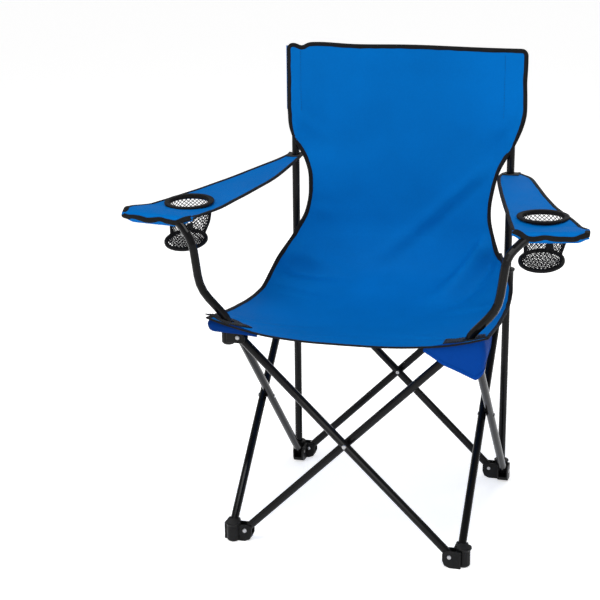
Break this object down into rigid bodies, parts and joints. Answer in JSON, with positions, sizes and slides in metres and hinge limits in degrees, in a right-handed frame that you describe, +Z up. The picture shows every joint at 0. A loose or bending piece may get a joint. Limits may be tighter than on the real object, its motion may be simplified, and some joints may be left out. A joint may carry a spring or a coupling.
{
  "type": "folding camp chair",
  "caption": "Folding camp chair with a crossed steel tube frame, plastic feet, a fabric seat and back, slanting fabric armrests and net cup holders.",
  "frame": {"origin": "centre of the chair's box in plan, on the floor", "axes": "+Z up, +X to the right of someone who faces the chair, -Y towards the front"},
  "size_m": [0.7592, 0.4547, 0.8032],
  "materials": {
    "foot_front_right": "moulded black plastic, satin",
    "pin_front_foot_outer": "plated steel rivet",
    "pin_right_foot_inner": "plated steel rivet",
    "foot_rear_right": "moulded black plastic, satin",
    "pin_right_foot_outer": "plated steel rivet",
    "pin_rear_foot_inner": "plated steel rivet",
    "upright_right": "glossy black powder coat",
    "cap_upright_right": "moulded black plastic, satin",
    "foot_rear_left": "moulded black plastic, satin",
    "pin_rear_foot_outer": "plated steel rivet",
    "pin_left_foot_inner": "plated steel rivet",
    "upright_left": "glossy black powder coat",
    "cap_upright_left": "moulded black plastic, satin",
    "back": "woven polyester, matte",
    "foot_front_left": "moulded black plastic, satin",
    "pin_front_foot_inner": "plated steel rivet",
    "pin_left_foot_outer": "plated steel rivet",
    "hub_left": "moulded black plastic, satin",
    "pin_front_head_outer": "plated steel rivet",
    "pin_left_head_inner": "plated steel rivet",
    "arm_post_left": "glossy black powder coat",
    "plug_arm_post_left": "moulded black plastic, satin",
    "armrest_left": "woven polyester, matte",
    "cup_left": "open polyester net",
    "pocket_left": "woven polyester, matte",
    "hub_right": "moulded black plastic, satin",
    "pin_front_head_inner": "plated steel rivet",
    "pin_right_head_outer": "plated steel rivet",
    "arm_post_right": "glossy black powder coat",
    "plug_arm_post_right": "moulded black plastic, satin",
    "armrest_right": "woven polyester, matte",
    "cup_right": "open polyester net",
    "pocket_right": "woven polyester, matte",
    "slider_left": "moulded black plastic, satin",
    "pin_rear_head_inner": "plated steel rivet",
    "pin_left_head_outer": "plated steel rivet",
    "slider_right": "moulded black plastic, satin",
    "pin_right_head_inner": "plated steel rivet",
    "pin_rear_head_outer": "plated steel rivet",
    "tube_front_outer": "glossy black powder coat",
    "pin_front_pivot": "plated steel rivet",
    "tube_front_inner": "glossy black powder coat",
    "tube_right_outer": "glossy black powder coat",
    "pin_right_pivot": "plated steel rivet",
    "tube_right_inner": "glossy black powder coat",
    "tube_rear_outer": "glossy black powder coat",
    "pin_rear_pivot": "plated steel rivet",
    "tube_rear_inner": "glossy black powder coat",
    "tube_left_outer": "glossy black powder coat",
    "pin_left_pivot": "plated steel rivet",
    "tube_left_inner": "glossy black powder coat",
    "seat_front": "woven polyester, matte",
    "seat_rear": "woven polyester, matte"
  },
  "bodies": {
    "front_right_foot": {"foot_front_right": "foot_front_right", "pin_front_foot_outer": "pin_front_foot_outer", "pin_right_foot_inner": "pin_right_foot_inner"},
    "rear_right_foot": {"foot_rear_right": "foot_rear_right", "pin_right_foot_outer": "pin_right_foot_outer", "pin_rear_foot_inner": "pin_rear_foot_inner", "upright_right": "upright_right", "cap_upright_right": "cap_upright_right"},
    "rear_left_foot": {"foot_rear_left": "foot_rear_left", "pin_rear_foot_outer": "pin_rear_foot_outer", "pin_left_foot_inner": "pin_left_foot_inner", "upright_left": "upright_left", "cap_upright_left": "cap_upright_left", "back": "back"},
    "front_left_foot": {"foot_front_left": "foot_front_left", "pin_front_foot_inner": "pin_front_foot_inner", "pin_left_foot_outer": "pin_left_foot_outer"},
    "hub_left_block": {"hub_left": "hub_left", "pin_front_head_outer": "pin_front_head_outer", "pin_left_head_inner": "pin_left_head_inner", "arm_post_left": "arm_post_left", "plug_arm_post_left": "plug_arm_post_left", "armrest_left": "armrest_left", "cup_left": "cup_left", "pocket_left": "pocket_left"},
    "hub_right_block": {"hub_right": "hub_right", "pin_front_head_inner": "pin_front_head_inner", "pin_right_head_outer": "pin_right_head_outer", "arm_post_right": "arm_post_right", "plug_arm_post_right": "plug_arm_post_right", "armrest_right": "armrest_right", "cup_right": "cup_right", "pocket_right": "pocket_right"},
    "slider_left_block": {"slider_left": "slider_left", "pin_rear_head_inner": "pin_rear_head_inner", "pin_left_head_outer": "pin_left_head_outer"},
    "slider_right_block": {"slider_right": "slider_right", "pin_right_head_inner": "pin_right_head_inner", "pin_rear_head_outer": "pin_rear_head_outer"},
    "front_outer": {"tube_front_outer": "tube_front_outer", "pin_front_pivot": "pin_front_pivot"},
    "front_inner": {"tube_front_inner": "tube_front_inner"},
    "right_outer": {"tube_right_outer": "tube_right_outer", "pin_right_pivot": "pin_right_pivot"},
    "right_inner": {"tube_right_inner": "tube_right_inner"},
    "rear_outer": {"tube_rear_outer": "tube_rear_outer", "pin_rear_pivot": "pin_rear_pivot"},
    "rear_inner": {"tube_rear_inner": "tube_rear_inner"},
    "left_outer": {"tube_left_outer": "tube_left_outer", "pin_left_pivot": "pin_left_pivot"},
    "left_inner": {"tube_left_inner": "tube_left_inner"},
    "seat_front_half": {"seat_front": "seat_front"},
    "seat_rear_half": {"seat_rear": "seat_rear"}
  },
  "joints": [
    {"name": "fold", "type": "hinge", "parent": "rear_left_foot", "child": "rear_outer", "pos_m": [-0.179, 0.20696, 0.02], "axis": [0, -1, 0], "range_deg": [0, 38.5], "deforming": ["back", "seat_front", "seat_rear", "armrest_left", "armrest_right", "pocket_left", "pocket_right"]},
    {"name": "rear_cross", "type": "hinge", "parent": "rear_outer", "child": "rear_inner", "pos_m": [0, 0.19981, 0.195], "axis": [0, 1, 0], "range_deg": [0, 77]},
    {"name": "rear_right_foot_pin", "type": "hinge", "parent": "rear_inner", "child": "rear_right_foot", "pos_m": [0.179, 0.19266, 0.02], "axis": [0, -1, 0], "range_deg": [0, 38.5]},
    {"name": "slider_right_pin", "type": "hinge", "parent": "rear_outer", "child": "slider_right_block", "pos_m": [0.179, 0.20696, 0.37], "axis": [0, 1, 0], "range_deg": [0, 38.5]},
    {"name": "slider_left_pin", "type": "hinge", "parent": "rear_inner", "child": "slider_left_block", "pos_m": [-0.179, 0.19266, 0.37], "axis": [0, -1, 0], "range_deg": [0, 38.5]},
    {"name": "right_outer_pin", "type": "hinge", "parent": "rear_right_foot", "child": "right_outer", "pos_m": [0.20715, 0.17881, 0.02], "axis": [-1, 0, 0], "range_deg": [0, 38.5]},
    {"name": "right_cross", "type": "hinge", "parent": "right_outer", "child": "right_inner", "pos_m": [0.2, -0.00019, 0.195], "axis": [1, 0, 0], "range_deg": [0, 77]},
    {"name": "left_inner_pin", "type": "hinge", "parent": "rear_left_foot", "child": "left_inner", "pos_m": [-0.19285, 0.17881, 0.02], "axis": [-1, 0, 0], "range_deg": [0, 38.5]},
    {"name": "left_cross", "type": "hinge", "parent": "left_inner", "child": "left_outer", "pos_m": [-0.2, -0.00019, 0.195], "axis": [1, 0, 0], "range_deg": [0, 77]},
    {"name": "front_left_foot_pin", "type": "hinge", "parent": "left_outer", "child": "front_left_foot", "pos_m": [-0.20715, -0.17919, 0.02], "axis": [-1, 0, 0], "range_deg": [0, 38.5]},
    {"name": "hub_left_pin", "type": "hinge", "parent": "left_inner", "child": "hub_left_block", "pos_m": [-0.19285, -0.17919, 0.37], "axis": [1, 0, 0], "range_deg": [0, 38.5]},
    {"name": "front_inner_pin", "type": "hinge", "parent": "front_left_foot", "child": "front_inner", "pos_m": [-0.179, -0.19304, 0.02], "axis": [0, -1, 0], "range_deg": [0, 38.5]},
    {"name": "front_cross", "type": "hinge", "parent": "front_inner", "child": "front_outer", "pos_m": [0, -0.20019, 0.195], "axis": [0, 1, 0], "range_deg": [0, 77]},
    {"name": "front_right_foot_pin", "type": "hinge", "parent": "front_outer", "child": "front_right_foot", "pos_m": [0.179, -0.20734, 0.02], "axis": [0, -1, 0], "range_deg": [0, 38.5]},
    {"name": "hub_right_pin", "type": "hinge", "parent": "front_inner", "child": "hub_right_block", "pos_m": [0.179, -0.19304, 0.37], "axis": [0, 1, 0], "range_deg": [0, 38.5]},
    {"name": "seat_front_drop", "type": "hinge", "parent": "hub_left_block", "child": "seat_front_half", "pos_m": [-0.2, -0.16519, 0.384], "axis": [-1, 0, 0], "range_deg": [0, 80.85]},
    {"name": "seat_rear_drop", "type": "hinge", "parent": "slider_left_block", "child": "seat_rear_half", "pos_m": [-0.2, 0.16481, 0.384], "axis": [1, 0, 0], "range_deg": [0, 80.85]}
  ],
  "couplings": [
    {"joint": "rear_cross", "follows": "fold", "ratio": 2},
    {"joint": "rear_right_foot_pin", "follows": "fold", "ratio": 1},
    {"joint": "slider_right_pin", "follows": "fold", "ratio": 1},
    {"joint": "slider_left_pin", "follows": "fold", "ratio": 1},
    {"joint": "right_outer_pin", "follows": "fold", "ratio": 1},
    {"joint": "right_cross", "follows": "fold", "ratio": 2},
    {"joint": "left_inner_pin", "follows": "fold", "ratio": 1},
    {"joint": "left_cross", "follows": "fold", "ratio": 2},
    {"joint": "front_left_foot_pin", "follows": "fold", "ratio": 1},
    {"joint": "hub_left_pin", "follows": "fold", "ratio": 1},
    {"joint": "front_inner_pin", "follows": "fold", "ratio": 1},
    {"joint": "front_cross", "follows": "fold", "ratio": 2},
    {"joint": "front_right_foot_pin", "follows": "fold", "ratio": 1},
    {"joint": "hub_right_pin", "follows": "fold", "ratio": 1},
    {"joint": "seat_front_drop", "follows": "fold", "ratio": 2.1},
    {"joint": "seat_rear_drop", "follows": "fold", "ratio": 2.1}
  ]
}
